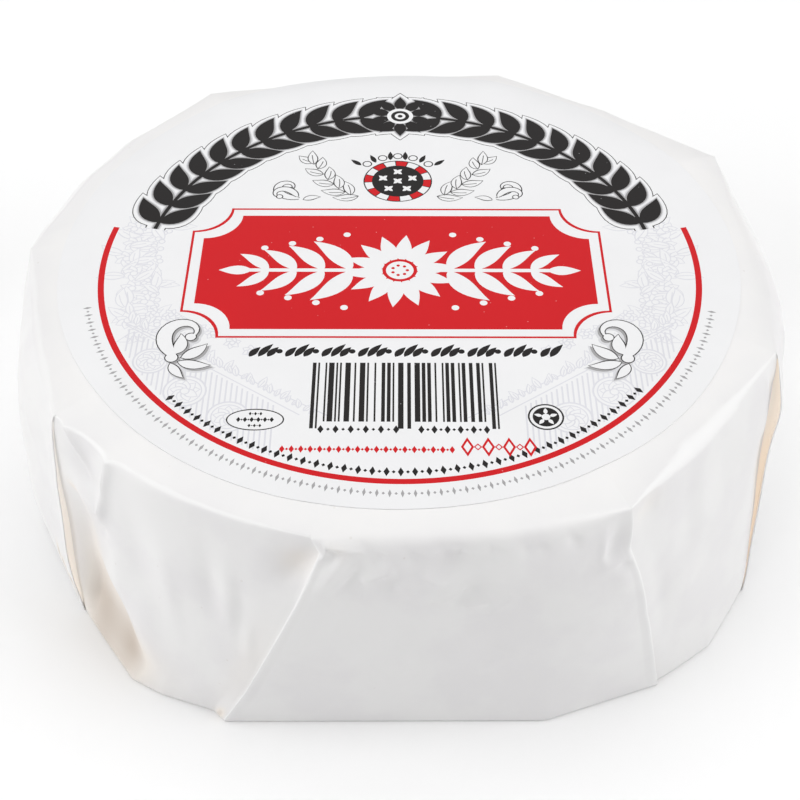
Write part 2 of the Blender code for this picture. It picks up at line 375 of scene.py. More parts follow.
def front_relief(across, down):
    """The broad front panel: shallow dents, low facets and a row of puckers under its edge, small
    creases at the near corner, and a dimple with a lip at the far one."""
    height = add_forms(0, FRONT_FACETS, across, down)
    for pucker in range(8):
        spot = 0.19 + 0.085 * pucker + 0.02 * (pucker % 3)
        height = height - 0.13 * bump(across, down, (spot, 0.060), (0.024, 0.030), 0.3)
    return add_forms(FACET_HEIGHT * height, FRONT_DIMPLE, across, down)


def front_right_relief(across, down):
    """The narrow panel at the front right: a shallow dent at the near corner, slack folds under the
    edge, and a pull towards the far fold that grows from the edge down."""
    pull = -0.9 * bump(across, down, (1.0, 0.32), (0.08, 0.42)) * np.clip(down / 0.12, 0, 1)
    return add_forms(pull, FRONT_RIGHT_FORMS, across, down)


def slack_relief(index, across, down):
    """A panel at the back or the sides, with random dents and creases, which grow from a small
    share at the top edge to their full height by 1 minus an exponential."""
    draw = np.random.default_rng(40 + index)
    height = 0 * across * down
    for _ in range(8):
        middle = draw.uniform(0.06, 0.94), draw.uniform(0.05, 0.8)
        widths = draw.uniform(0.04, 0.12), draw.uniform(0.08, 0.25)
        slant = draw.uniform(-0.4, 0.4)
        height = height + draw.uniform(-0.60, 0.35) * bump(across, down, middle, widths, slant)
    for _ in range(7):
        start = draw.uniform(0.05, 0.95), draw.uniform(0.0, 0.5)
        end = start[0] + draw.uniform(-0.14, 0.14), start[1] + draw.uniform(0.12, 0.4)
        height = height + draw.uniform(0.15, 0.45) * crease(across, down, start, end, 0.02)
    height = height * (1 - 0.85 * np.exp(-down / 0.14))
    kept, forms = SIDE_FORMS.get(index, (1.0, ()))
    return add_forms(kept * height, forms, across, down)


RELIEFS = {0: front_left_relief, 1: front_relief, 2: front_right_relief}
FLAT_SIDE = 0.012               # the share of a broad panel beside each fold that is creased flat


def paper_surface(index, across, down):
    """Angle and radius of the paper on a panel, with its lap and its relief in millimetres. The
    relief fades out at the foot by a sixth power, and on a broad panel at the very folds, where
    the paper is creased flat."""
    across, down = np.broadcast_arrays(across, down)
    angle, radius = flat_panel(index, across, down)
    broad = PANELS[index][0] == "broad"
    share = np.clip(across, 0, 1)
    relief = RELIEFS[index](share, down) if index in RELIEFS else slack_relief(index, share, down)
    relief = relief * (1 - down ** 6)
    if broad and index in RELIEFS:
        relief = relief * np.clip(np.minimum(share, 1 - share) / FLAT_SIDE, 0, 1)
    if not broad:
        relief = relief - lap_depth(index, share, down)
    return angle, radius + relief * MM, relief


COLUMNS = (124, 134, 84, 56, 34, 56, 34, 112)    # faces across each panel, most where it shows
GATHER = 0.10                   # how far the columns of a panel are drawn towards its folds
PLEAT_COLUMNS, EDGE_COLUMNS = 5, 4


def pleat(panel, side, down):
    """The paper of one pleat, from the narrow panel's side to the broad panel's face: a hidden
    strip of the narrow panel, the layer that comes back under the broad panel, and the half
    circle of the folded edge. side is the broad panel's end, 0 or 1. The pleat's depth goes as the
    way down to the power 0.8, and the strip leaves the narrow panel by a power of 1.5. Returns
    angle and radius."""
    inward = 1 if side == 0 else -1
    narrow = (panel - inward) % len(PANELS)
    edge_angle, edge_radius, _ = paper_surface(panel, float(side), down)
    other_angle, _ = flat_panel(panel, 1.0 - side, down)
    span = np.abs(other_angle - edge_angle)
    _, low_radius, _ = paper_surface(narrow, 1.0 - side, down)
    reach = np.degrees((PLEAT_DEPTH * down ** 0.8 + 0.01 * MM) / edge_radius) / span
    thin = FOLD_THICKNESS * np.clip(down * 10, 0.01, 1)
    share = np.arange(1, PLEAT_COLUMNS + 1) / PLEAT_COLUMNS
    angle, radius, _ = paper_surface(panel, side + inward * share * reach, down)
    gap = edge_radius - low_radius
    strip = angle, radius - (gap + (1.6 * thin - gap) * share ** 1.5)
    share = np.arange(PLEAT_COLUMNS, -1, -1) / PLEAT_COLUMNS
    angle, radius, _ = paper_surface(panel, side + inward * share * reach * 0.98, down)
    back = angle, radius - thin
    turn = pi * np.arange(1, EDGE_COLUMNS) / EDGE_COLUMNS
    outward = np.degrees(thin / 2 * np.sin(turn) / edge_radius)
    edge = edge_angle - inward * outward, edge_radius - thin / 2 * (1 + np.cos(turn))
    angle, radius = (np.hstack(pair) for pair in zip(strip, back, edge))
    return (angle, radius) if side == 0 else (angle[:, ::-1], radius[:, ::-1])


def wrap_columns(down):
    """All columns round the cheese, counter-clockwise, rows by columns: angle, radius and relief,
    and for each column its panel, its place across it, and whether it is tucked away. A sine
    draws the columns of a panel together towards its folds."""
    pieces = []
    for index, (kind, _, _) in enumerate(PANELS):
        even = np.linspace(0, 1, COLUMNS[index] + 1)
        across = even - GATHER * np.sin(2 * pi * even)
        face = paper_surface(index, across[None, :], down)
        pieces.append((*face, index, across, np.zeros(across.shape, bool)))
        if kind == "broad":
            for side in (0, 1):
                angle, radius = pleat(index, side, down)
                ends = np.full(angle.shape[1], float(side))
                hidden = np.arange(angle.shape[1]) < angle.shape[1] - EDGE_COLUMNS + 1
                hidden = hidden if side == 0 else hidden[::-1]
                strip = (angle, radius, 0 * angle, index, ends, hidden)
                pieces.insert(len(pieces) - (side == 0), strip)
    angle, radius, relief = (np.hstack([piece[part] for piece in pieces]) for part in range(3))
    panel = np.hstack([np.full(piece[4].shape, piece[3]) for piece in pieces])
    across = np.hstack([piece[4] for piece in pieces])
    tucked = np.hstack([piece[5] for piece in pieces])
    return angle, radius, relief, panel, across, tucked


def slow_waves(x, y, z, seed, lengths, count):
    """A sum of sines in random directions, of height about 1, which stands for the paper's play."""
    draw = np.random.default_rng(seed)
    total = 0 * x
    for _ in range(count):
        direction = draw.normal(size=3)
        direction *= 2 * pi / (draw.uniform(*lengths) * np.linalg.norm(direction))
        phase = draw.uniform(0, 2 * pi)
        total = total + np.sin(x * direction[0] + y * direction[1] + z * direction[2] + phase)
    return total / np.sqrt(count)


def kinked_waves(x, y, z, seed, lengths, count):
    """The same with the sines folded over, |sin|, so that they meet in sharp lines like creases,
    which slow waves of two millimetres bend."""
    draw = np.random.default_rng(seed)
    total = 0 * x
    bend = 2.0 * MM * slow_waves(x, y, z, seed + 1, (9 * MM, 18 * MM), 3)
    for _ in range(count):
        direction = draw.normal(size=3)
        direction *= pi / (draw.uniform(*lengths) * np.linalg.norm(direction))
        along = (x + bend) * direction[0] + (y - bend) * direction[1] + (z + bend) * direction[2]
        total = total + np.abs(np.sin(along + draw.uniform(0, pi))) - 2 / pi
    return total / np.sqrt(count)


# Where the top turns down: how wide the turn is at even steps across each panel, in millimetres,
# and how round it is, from 0 for a flat bevel between two creases to 1 for a soft bend.
TURNS = (
    ((0.10, 0.22, 0.36, 0.16, 0.34, 0.22, 0.26, 0.14, 0.10), 0.0),
    ((0.25, 0.8, 1.1, 1.2, 1.2, 1.1, 0.9, 0.6, 0.25), 1.0),
    ((0.10, 0.45, 0.75, 1.15, 0.80, 0.75, 0.40, 0.22, 0.10), 0.0),
    ((0.30, 1.0, 1.6, 1.8, 1.8, 1.8, 1.6, 1.0, 0.30), 0.8),
    ((0.20, 0.7, 1.1, 1.3, 0.9, 1.2, 1.0, 0.6, 0.20), 0.1),
    ((0.40, 1.4, 2.0, 2.2, 2.2, 2.2, 2.0, 1.4, 0.40), 1.0),
    ((0.20, 0.6, 0.8, 0.5, 0.9, 0.6, 0.7, 0.4, 0.20), 0.0),
    ((0.25, 0.5, 0.7, 0.5, 0.6, 0.45, 0.55, 0.40, 0.15), 0.15),
)
# Painted shade in the paper, warm and darker, in its hollows and valleys and under the bag: the panel,
# the middle, the half widths, the slant, and how deep. The last five are small brown scuffs on the
# left broad panel, where it ends.
PAINTED_SHADES_AND_SCUFFS = (
    (0, (0.24, 0.97), (0.31, 0.14), 0, 0.74),
    (0, (0.45, 0.92), (0.11, 0.09), 0, 0.46),
    (0, (0.08, 0.74), (0.12, 0.30), 0.3, 0.28),
    (0, (0.10, 0.33), (0.05, 0.025), 0, 0.6),
    (0, (0.94, 0.15), (0.050, 0.07), 0, 0.28),
    (0, (0.95, 0.72), (0.07, 0.25), 0, 0.14),
    (0, (0.96, 0.99), (0.025, 0.03), 0, 0.7),
    (1, (0.07, 0.05), (0.03, 0.04), 0, 0.12),
    (2, (0.10, 0.08), (0.08, 0.06), 0, 0.14),
    (7, (0.895, 0.82), (0.012, 0.060), -0.2, 1.0),
    (7, (0.917, 0.85), (0.010, 0.045), -0.3, 1.0),
    (7, (0.936, 0.87), (0.012, 0.070), -0.2, 0.9),
    (7, (0.955, 0.90), (0.010, 0.045), -0.3, 1.0),
    (7, (0.972, 0.92), (0.012, 0.060), -0.2, 0.8),
)
WALL_ROWS, FOOT_ROWS, UNDER_ROWS = 96, 4, 14
TOP_SHARES = (0.20, 0.45, 0.70, 0.82, 0.86, 0.885, 0.905, 0.922, 0.936, 0.948, 0.958, 0.967, 0.975,
              0.982, 0.988, 0.992, 0.996)
PAPER_SEAT = 0.08 * MM          # the paper lies so far under the label's face
TOP_PLAY, TOP_ROOM = 0.09 * MM, 0.10 * MM   # the face's waves, and what it is lowered to hold them
FLAP_LIFT = 0.22 * MM           # the narrow panels' ends lie so high under the cheese
PAPER_WAVES, PAPER_KINKS, UNDER_KINKS = 0.13, 0.12, 0.16    # heights in millimetres
RIM_HIGHLIGHT, FOLD_HIGHLIGHT = 0.55, 0.45    # how strongly a highlight is painted on the bevels and the folds
BEND_START = 0.86               # from here on, as a share of the way out, the top bends down
# The outline of the top edge at sixty even steps across each panel, to be looked up by angle.
STEPS = np.linspace(0, 1, 61)[:-1]
RIM_TABLE = [flat_panel(index, STEPS, 0 * STEPS) for index in range(len(PANELS))]
RIM_ANGLES, RIM_RADII = (np.hstack([row[part] for row in RIM_TABLE]) for part in range(2))
# The power of the bend: low where the edge is creased and the top runs straight to it.
RIM_POWERS = np.hstack([1.5 + (0.9 if kind == "broad" else -0.4) * np.sin(pi * STEPS)
                        for kind, _, _ in PANELS])


def label_height(x, y):
    """The label's face over the table at a place given from the print's middle: flat, with a play
    of a tenth of a millimetre, and bending down with the paper towards the top edge by a power."""
    angle = np.degrees(np.arctan2(y, x))
    share = np.hypot(x, y) / np.interp(angle, RIM_ANGLES, RIM_RADII, period=360)
    power = np.interp(angle, RIM_ANGLES, RIM_POWERS, period=360)
    bend = np.clip((share - BEND_START) / (1 - BEND_START), 0, 1) ** power
    play = TOP_PLAY * slow_waves(x, y, 0 * x, 5, (22 * MM, 45 * MM), 4) * np.clip(share, 0, 1) ** 2
    return TOP - TOP_ROOM + np.minimum(play, TOP_PLAY) - (RIM_DROP - PAPER_SEAT) * bend


def turn_edge(radius, z, panel, across, rim_row):
    """Rounds or bevels the top edge: between a place on the top and one on the side, each so far
    from the edge as TURNS says, the section becomes a quadratic curve. Its middle point is the
    edge itself for a soft bend and the middle of the chord for a bevel. A bevel gets a painted
    highlight."""
    run = np.hypot(np.diff(radius, axis=0), np.diff(z, axis=0))
    run = np.vstack([np.zeros(radius.shape[1]), run]).cumsum(0)
    run = run - run[rim_row]
    new_radius, new_z, painted_highlight = radius.copy(), z.copy(), 0 * radius
    for column in range(radius.shape[1]):
        widths, bend = TURNS[panel[column]]
        width = np.interp(across[column], np.linspace(0, 1, len(widths)), widths) * MM
        w = np.clip(run[:, column] / width * 0.5 + 0.5, 0, 1)
        rows = (w > 0) & (w < 1)
        # Painted highlight across a bevel, fading to none on a soft bend.
        painted_highlight[:, column] = np.sqrt(np.sin(pi * w)) * (1 - bend) ** 2
        for line, new in ((radius, new_radius), (z, new_z)):
            start, end = np.interp([-width, width], run[:, column], line[:, column])
            middle = bend * line[rim_row, column] + (1 - bend) * (start + end) / 2
            curve = (1 - w) ** 2 * start + 2 * w * (1 - w) * middle + w ** 2 * end
            new[rows, column] = curve[rows]
    return new_radius, new_z, painted_highlight


def underside(outline, angle, panel):
    """The rows from the end of the wall to the underside's middle: a quarter circle round the foot,
    then inwards, where the ends of the narrow panels lie higher than those of the broad ones, which
    rest on the table. Creases lift the paper, which lies flat at the foot and in the middle. Returns
    radius and height."""
    quarter = np.radians(np.linspace(0, 90, FOOT_ROWS + 1)[1:])[:, None]
    foot_radius = outline - FOOT_ROUNDING * (1 - np.cos(quarter))
    foot_z = FOOT_ROUNDING * (1 - np.sin(quarter)) + 0 * foot_radius
    inward = np.linspace(1, 0, UNDER_ROWS + 1)[1:-1][:, None]
    radius = foot_radius[-1:] * inward
    turn = np.radians(angle)
    place = radius * np.cos(turn), radius * np.sin(turn), 0 * radius
    z = FLAP_LIFT * np.where(panel % 2 == 0, 1, 0.15 * (1 - inward)) + 0 * radius
    z += UNDER_KINKS * MM * np.clip(kinked_waves(*place, 31, (9 * MM, 22 * MM), 5), 0, None)
    z *= np.clip((1 - inward) / 0.15, 0, 1) * np.clip(inward / 0.10, 0, 1)
    return np.vstack([foot_radius, radius]), np.vstack([foot_z, z])


def paint_shade_and_scuffs(relief, level, panel, across, tucked):
    """How much painted shade the wall gets, from 0 to 1: the depth of its relief over 4.5 millimetres
    less 0.10, up to 0.45, of which the upper half has a quarter, and the sum of the table's painted
    shades and scuffs, which only the outer faces have."""
    # Painted shade: darker where the relief lies deeper.
    shade_and_scuffs = np.clip(-relief / 4.5 - 0.10, 0, 0.45) * (0.25 + 0.75 * step_at(level - 0.55, 0.5))
    for marked_panel, middle, widths, slant, depth in PAINTED_SHADES_AND_SCUFFS:
        shade = depth * bump(across, level, middle, widths, slant)
        shade_and_scuffs = shade_and_scuffs + shade * ((panel == marked_panel) & ~tucked)
    return np.clip(shade_and_scuffs, 0, 1)


def build_wrap():
    """A closed sheet: the rows run from the top's middle over the rim, down the sides, closer at
    first by a power of 1.15, round the foot and in to the underside's middle. Slow and kinked
    waves move the top's edge up and down and the wall in and out. They fade out over seven rows
    towards the label and by a sixth power towards the foot. A broad panel's folds get a painted
    highlight as exp of minus the squared distance over 0.007. Returns angle, radius and height, the
    painted shade with the scuffs and the painted highlight at each point, and which columns are
    tucked away."""
    down = (np.linspace(0, 1, WALL_ROWS + 1) ** 1.15)[:, None]
    angle, radius, relief, panel, across, tucked = wrap_columns(down)
    low_radius, low_z = underside(radius[-1:], angle[-1:], panel)
    low_angle = np.repeat(angle[-1:], len(low_z), 0)
    z = TOP - RIM_DROP - (TOP - RIM_DROP - FOOT_ROUNDING) * down + 0 * angle

    shares = np.array(TOP_SHARES)[:, None]
    rows = len(shares)
    top_radius = radius[:1] * shares
    turn = np.radians(angle[:1])
    top_z = label_height(top_radius * np.cos(turn), top_radius * np.sin(turn)) - PAPER_SEAT
    angle = np.vstack([np.repeat(angle[:1], rows, 0), angle])
    radius, z = np.vstack([top_radius, radius]), np.vstack([top_z, z])
    radius, z, painted_highlight = turn_edge(radius, z, panel, across, rows)

    turn = np.radians(angle)
    place = radius * np.cos(turn), radius * np.sin(turn), z
    play = PAPER_WAVES * slow_waves(*place, 11, (7 * MM, 20 * MM), 9)
    play += PAPER_KINKS * kinked_waves(*place, 21, (7 * MM, 18 * MM), 5)
    row = np.arange(len(z))[:, None] - rows
    play *= MM * np.clip((row + 7) / 7, 0, 1) * (1 - np.clip(row / WALL_ROWS, 0, 1) ** 6)
    steep = np.clip((row + 4) / 8, 0, 1)
    radius = radius + play * steep
    z = z + play * (1 - steep)

    level = np.clip(row / WALL_ROWS, 0, 1)[rows:]
    # The painted shade, with the scuffs, over the wall, copied onto the foot; none on the top or
    # underneath.
    shade_and_scuffs = paint_shade_and_scuffs(relief, level, panel, across, tucked)
    foot_shade_and_scuffs = np.repeat(shade_and_scuffs[-1:], FOOT_ROWS, 0)
    shade_and_scuffs = np.vstack([0 * top_radius, shade_and_scuffs, foot_shade_and_scuffs, 0 * low_radius[FOOT_ROWS:]])
    # Painted highlight along the broad panels' folds, joined to the one on the bevels.
    fold_line = np.exp(-(np.minimum(across, 1 - across) / 0.007) ** 2)
    along_fold = np.where(panel % 2 == 1, fold_line, 0)
    painted_highlight = np.maximum(RIM_HIGHLIGHT * painted_highlight, FOLD_HIGHLIGHT * along_fold * step_at(row - 2, 6))
    painted_highlight = np.vstack([painted_highlight, 0 * low_radius])
    angle = np.vstack([angle, low_angle])
    return angle, np.vstack([radius, low_radius]), np.vstack([z, low_z]), shade_and_scuffs, painted_highlight, tucked


def press(values, low, high):
    """Presses the outermost millimetre softly inwards, by a tanh, so that no crease stands out
    over the wrapper's real width and depth."""
    middle, reach, soft = (low + high) / 2, (high - low) / 2, 1.0 * MM
    over = np.clip(np.abs(values - middle) - (reach - soft), 0, None)
    inside = np.abs(values - middle) - over + soft * np.tanh(over / soft)
    return middle + np.sign(values - middle) * inside


def sheet_mesh(name, x, y, z):
    """A mesh from a grid that closes on itself sideways, with a fan of faces at each end."""
    rows, columns = x.shape
    points = np.stack([x, y, z], -1).reshape(-1, 3)
    poles = np.array([[values[end].mean() for values in (x, y, z)] for end in (0, -1)])
    vertices = np.vstack([points, poles])
    grid = np.arange(rows * columns).reshape(rows, columns)
    right = np.roll(grid, -1, 1)
    quads = np.stack([grid[:-1], grid[1:], right[1:], right[:-1]], -1).reshape(-1, 4)
    top_pole, low_pole = rows * columns, rows * columns + 1
    upper = np.stack([np.full(columns, top_pole), grid[0], right[0]], -1)
    lower = np.stack([np.full(columns, low_pole), right[-1], grid[-1]], -1)
    mesh = bpy.data.meshes.new(name)
    mesh.from_pydata(vertices.tolist(), [], quads.tolist() + upper.tolist() + lower.tolist())
    mesh.shade_smooth()
    return mesh


class Wire:
    """One socket of a material's nodes. Arithmetic on wires adds the Math nodes it needs."""

    def __init__(self, tree, socket=None):
        self.tree = tree
        self.socket = socket

    def node(self, kind, settings=None, inputs=None, output=0):
        """Adds a node: its settings first, then the values or wires of its sockets."""
        node = self.tree.nodes.new(kind)
        for name, value in (settings or {}).items():
            setattr(node, name, value)
        for name, value in (inputs or {}).items():
            if isinstance(value, Wire):
                self.tree.links.new(value.socket, node.inputs[name])
            else:
                node.inputs[name].default_value = value
        return Wire(self.tree, node.outputs[output])

    def math(self, operation, *values, clamp=False):
        """One Math node on wires or numbers; clamp keeps the result between 0 and 1."""
        settings = {"operation": operation, "use_clamp": clamp}
        return self.node("ShaderNodeMath", settings, dict(enumerate(values)))

    def __add__(self, other):
        return self.math("ADD", self, other)

    def __sub__(self, other):
        return self.math("SUBTRACT", self, other)

    def __rsub__(self, other):
        return self.math("SUBTRACT", other, self)

    def __mul__(self, other):
        return self.math("MULTIPLY", self, other)

    __radd__ = __add__
    __rmul__ = __mul__

    def noise(self, size, detail=2.0, roughness=0.5):
        """Cloudy noise from 0 to 1, whose largest grains measure about size metres."""
        inputs = {"Vector": self, "Scale": 1 / size, "Detail": detail, "Roughness": roughness}
        return self.node("ShaderNodeTexNoise", {}, inputs)

    def specks(self, size, low, high):
        """Small spots, one in each cell of about size metres: 1 minus the rise, from low to high, of
        the distance to the nearest random point, in cells."""
        inputs = {"Vector": self, "Scale": 1 / size, "Randomness": 1.0}
        return 1 - self.node("ShaderNodeTexVoronoi", {}, inputs).rise(low, high)

    def axis(self, name):
        """One coordinate of a place."""
        return self.node("ShaderNodeSeparateXYZ", {}, {"Vector": self}, name)

    def attribute(self, name):
        """A value that the mesh carries at each point."""
        return self.node("ShaderNodeAttribute", {"attribute_name": name}, output="Fac")

    def grain(self, strength, height):
        """The normal of a face with fine bumps, so many metres high where this wire is 1."""
        inputs = {"Strength": strength, "Distance": height, "Height": self}
        return self.node("ShaderNodeBump", {}, inputs)

    def rise(self, low, high):
        """0 below low, 1 above high and an even slope between them."""
        return self.math("MULTIPLY", self - low, 1 / (high - low), clamp=True)

    def blend(self, colour, other):
        """The first colour where this wire is 0, and the other where it is 1."""
        return self.node("ShaderNodeMix", {"data_type": "RGBA"}, {0: self, 6: colour, 7: other}, 2)


def new_material(name, **constants):
    """A Principled material whose constant sockets are given by name, with _ for a space. Returns
    the material, its shader node and a wire of the piece's own coordinates."""
    material = bpy.data.materials.new(name)
    material.use_nodes = True
    shader = material.node_tree.nodes["Principled BSDF"]
    for socket, value in constants.items():
        shader.inputs[socket.replace("_", " ")].default_value = value
    place = Wire(material.node_tree).node("ShaderNodeTexCoord", output="Object")
    return material, shader, place


def feed(shader, wires):
    """Links each wire to the shader's socket of that name."""
    for socket, wire in wires.items():
        wire.tree.links.new(wire.socket, shader.inputs[socket])


def glazed_paper():
    """White paper with a waxed face: clouds in the pulp, fibres, and a few tiny specks. It is creamier
    on the flat top, and its walls are a little greyer and darker, partly as painted shade. Hollows
    and valleys get a painted warm shade, brown where deepest, and the brown scuffs use the same
    colours. Along the bevels and the folds a painted highlight makes it whiter."""
    material, shader, place = new_material("glazed_paper", IOR=1.46, Coat_Roughness=0.32, Coat_IOR=1.45)
    clouds = place.noise(7 * MM, 5)
    # Painted shade: below the top the walls get a greyer, slightly darker white than the creamier top.
    painted_wall_shade = 1 - place.axis("Z").rise(TOP - 1.6 * MM, TOP - 0.6 * MM)
    fibres = place.noise(0.35 * MM, 3, 0.7)
    speck = place.specks(3.4 * MM, 0.030, 0.045)
    shade_and_scuffs = place.attribute("shade_and_scuffs")
    cream = clouds.rise(0.40, 0.60).blend((0.856, 0.846, 0.840, 1), (0.838, 0.830, 0.828, 1))
    white = clouds.rise(0.44, 0.58).blend((0.842, 0.836, 0.834, 1), (0.818, 0.808, 0.813, 1))
    white = painted_wall_shade.blend(cream, white)
    # Painted shade in hollows and valleys: warm beige, then brown where deepest; the scuffs take the
    # same colours.
    white = shade_and_scuffs.rise(0, 0.5).blend(white, (0.86, 0.81, 0.755, 1))
    white = shade_and_scuffs.rise(0.5, 1).blend(white, (0.58, 0.50, 0.43, 1))
    # Painted highlight on the bevels and the folds: near white.
    white = place.attribute("painted_highlight").blend(white, (0.96, 0.96, 0.955, 1))
    white = (speck * 0.22).blend(white, (0.60, 0.55, 0.50, 1))
    feed(shader, {"Base Color": white, "Roughness": 0.36 + clouds * 0.16,
                  "Normal": fibres.grain(0.25, 0.02 * MM),
                  "Coat Weight": 0.10 + place.noise(15 * MM) * 0.16})
    return material


def tucked_paper_painted_glow():
    """The same paper inside the pleats, with painted light: its emission is a painted warm glow that
    stands in for light coming through one layer of it, and its warmer, darker colour towards the
    right and the foot is painted shade. It is paler on the left, most so towards the top."""
    material, shader, place = new_material("tucked_paper_painted_glow", Roughness=0.6, Emission_Strength=0.20)
    clouds = place.noise(5 * MM, 2)
    low = 1 - place.axis("Z").rise(13 * MM, 19 * MM)
    # Painted shade: further to the right and towards the foot the colour turns warmer and darker.
    deep = place.axis("X").rise(-10 * MM, 10 * MM) + 0.20 * low
    deep = deep.rise(0, 1) * (0.7 + 0.3 * clouds)
    warm = deep.blend((0.90, 0.875, 0.85, 1), (0.88, 0.80, 0.71, 1))
    # Painted glow: the emission's colour, warmer where the painted shade is deeper.
    glow = deep.blend((0.95, 0.93, 0.90, 1), (0.95, 0.86, 0.76, 1))
    feed(shader, {"Base Color": warm, "Emission Color": glow})
    return material


angle, radius, z, shade_and_scuffs, painted_highlight, tucked = build_wrap()
turn = np.radians(angle)
x = press(PRINT_X + radius * np.cos(turn), cad_box[0][0], cad_box[1][0])
y = press(PRINT_Y + radius * np.sin(turn), cad_box[0][1], cad_box[1][1])
wrap_mesh = sheet_mesh("wrapping_paper", x, y, z)
# The painted shade with the scuffs, and the painted highlight, are stored on the mesh for the material.
for name, values in (("shade_and_scuffs", shade_and_scuffs), ("painted_highlight", painted_highlight)):
    shade = wrap_mesh.attributes.new(name, "FLOAT", "POINT")
    shade.data.foreach_set("value", np.append(values.reshape(-1), [0, 0]).astype(np.float32))
wrap = bpy.data.objects.new("wrapping_paper", wrap_mesh)
bpy.context.scene.collection.objects.link(wrap)
wrap_mesh.materials.append(glazed_paper())
wrap_mesh.materials.append(tucked_paper_painted_glow())
# The second material, with its painted glow and shade, lies on the tucked layers, from four rows under
# the top edge to the foot.
hidden = tucked & np.roll(tucked, -1)
slots = np.tile(hidden, z.shape[0] - 1).astype(int)
slots[(len(TOP_SHARES) + WALL_ROWS) * len(tucked):] = 0
slots[:(len(TOP_SHARES) + 4) * len(tucked)] = 0
wrap_mesh.polygons.foreach_set("material_index", np.append(slots, np.zeros(2 * len(tucked), int)))
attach(wrap, "root")
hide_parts("wrapper")


# The label is a round of white coated paper, printed in black, red and a pale lilac grey, and stuck
# on the flat of the wrapper. Each ink is a field of its own in one thin sheet: the shapes of the
# print are laid over one another, and the sheet is cut along all their outlines.
LABEL_THICKNESS = 0.10 * MM
INKS = (
    ("label_paper", (0.826, 0.826, 0.834)),
    ("red_ink", (0.60, 0.001, 0.006)),
    ("black_ink", (0.008, 0.006, 0.006)),
    ("lilac_ink", (0.69, 0.69, 0.73)),
    ("light_shade", (0.66, 0.66, 0.68)),
    ("mid_shade", (0.36, 0.355, 0.36)),
)
WHITE, RED, BLACK, LILAC, LIGHT, MID = range(len(INKS))
printed = []                    # the print's shapes as (ink, points), each over the one before


def lay(ink, points):
    """Adds a shape to the print. Its outline is turned counter-clockwise, which shows in the sign
    of its area, half the sum of the cross products of neighbouring points."""
    x, y = np.asarray(points).T
    area = np.sum(x * np.roll(y, -1) - y * np.roll(x, -1))
    printed.append((ink, np.stack([x, y], 1)[::1 if area > 0 else -1]))


def lay_all(shapes):
    """Adds shapes to the print in turn, each given as its ink and its points."""
    for ink, points in shapes:
        lay(ink, points)


def rays(turn):
    """The unit vectors at angles in radians."""
    return np.stack([np.cos(turn), np.sin(turn)], 1)


def sides(path, ahead, half):
    """The points beside a path on its left and on its right, half a width away."""
    aside = np.stack([-ahead[:, 1], ahead[:, 0]], 1) * half[:, None]
    return path + aside, path - aside


def leaf(base, aim, length, width, bend=0.0, grow=0.0, steps=9):
    """A pointed leaf as a closed outline. Its middle line starts at base in the direction aim, in
    degrees, and turns by bend degrees on its way. Its half width goes as the sine of pi times the
    share of the way to the power 0.8. grow moves the whole outline outwards."""
    share = np.linspace(0, 1, steps + 1)
    step = (length + 2 * grow) / steps
    ahead = rays(np.radians(aim + bend * share))
    middle = np.vstack([np.zeros(2), (ahead[:-1] + ahead[1:]).cumsum(0) / 2 * step])
    middle = middle + base - grow * ahead[0]
    left, right = sides(middle, ahead, (width / 2 + grow) * np.sin(pi * share ** 0.8))
    return np.vstack([left[:-1], right[:0:-1]])


def disc(middle, radius, grow=0.0, steps=16, squash=1.0):
    """A round, or an ellipse whose height is squash times its width."""
    turn = np.arange(steps) * 2 * pi / steps
    return rays(turn) * (radius + grow, radius * squash + grow) + middle


def stroke(path, width):
    """A line of even width along a path."""
    path = np.asarray(path, float)
    ahead = np.gradient(path, axis=0)
    ahead /= np.hypot(*ahead.T)[:, None]
    left, right = sides(path, ahead, np.full(len(path), width / 2))
    return np.vstack([left, right[::-1]])


def arc_points(radius, first, last, step, middle=(0, 0)):
    """Points on a circle from one angle to another, about step apart, in degrees."""
    turn = np.radians(np.linspace(first, last, max(3, int(abs(last - first) / step) + 2)))
    return rays(turn) * radius + middle


def arc_band(inner, outer, first, last, step, middle=(0, 0)):
    """A piece of a ring between two radii and two angles."""
    return np.vstack([arc_points(outer, first, last, step, middle),
                      arc_points(inner, last, first, step, middle)])


def polar(radius, degrees):
    """The point at a radius and an angle in degrees."""
    return np.array([radius * cos(radians(degrees)), radius * sin(radians(degrees))])


def volute(base, aim, size, width, turn, grow=0.0, steps=22):
    """A curling tendril and its end. Its heading turns by turn degrees in all, as the share of the
    way to the power 1.6. Its half width goes as the sine of pi times the share to the power 0.7,
    and tapers by 0.55 towards the curled end."""
    share = np.linspace(0, 1, steps + 1)
    step = size / steps * (1.25 - 0.5 * share)
    ahead = rays(np.radians(aim + turn * share ** 1.6))
    path = np.vstack([np.zeros(2), (ahead[:-1] * step[:-1, None]).cumsum(0)]) + base
    half = width / 2 * (0.15 + 0.85 * np.sin(pi * share ** 0.7)) * (1 - 0.55 * share) + grow
    left, right = sides(path, ahead, half)
    return np.vstack([left, right[::-1]]), path[-1]


def mirrored(shapes):
    """The same shapes again, mirrored left to right."""
    return shapes + [(kind, points[::-1] * (-1, 1)) for kind, points in shapes]


# The pale ground on both sides: leaves and flowers in fine lines, and below them a hatched field
# with three rosettes. Its shapes are those of the left half, in ring radii.
FINE = 0.0042                   # width of the finest printed lines, in ring radii


def outlined_disc(middle, radius, steps, ink, line=FINE):
    """A round drawn as its outline: the grown shape in ink, and over it the shape in white."""
    return [(ink, disc(middle, radius, line, steps)), (WHITE, disc(middle, radius, 0, steps))]


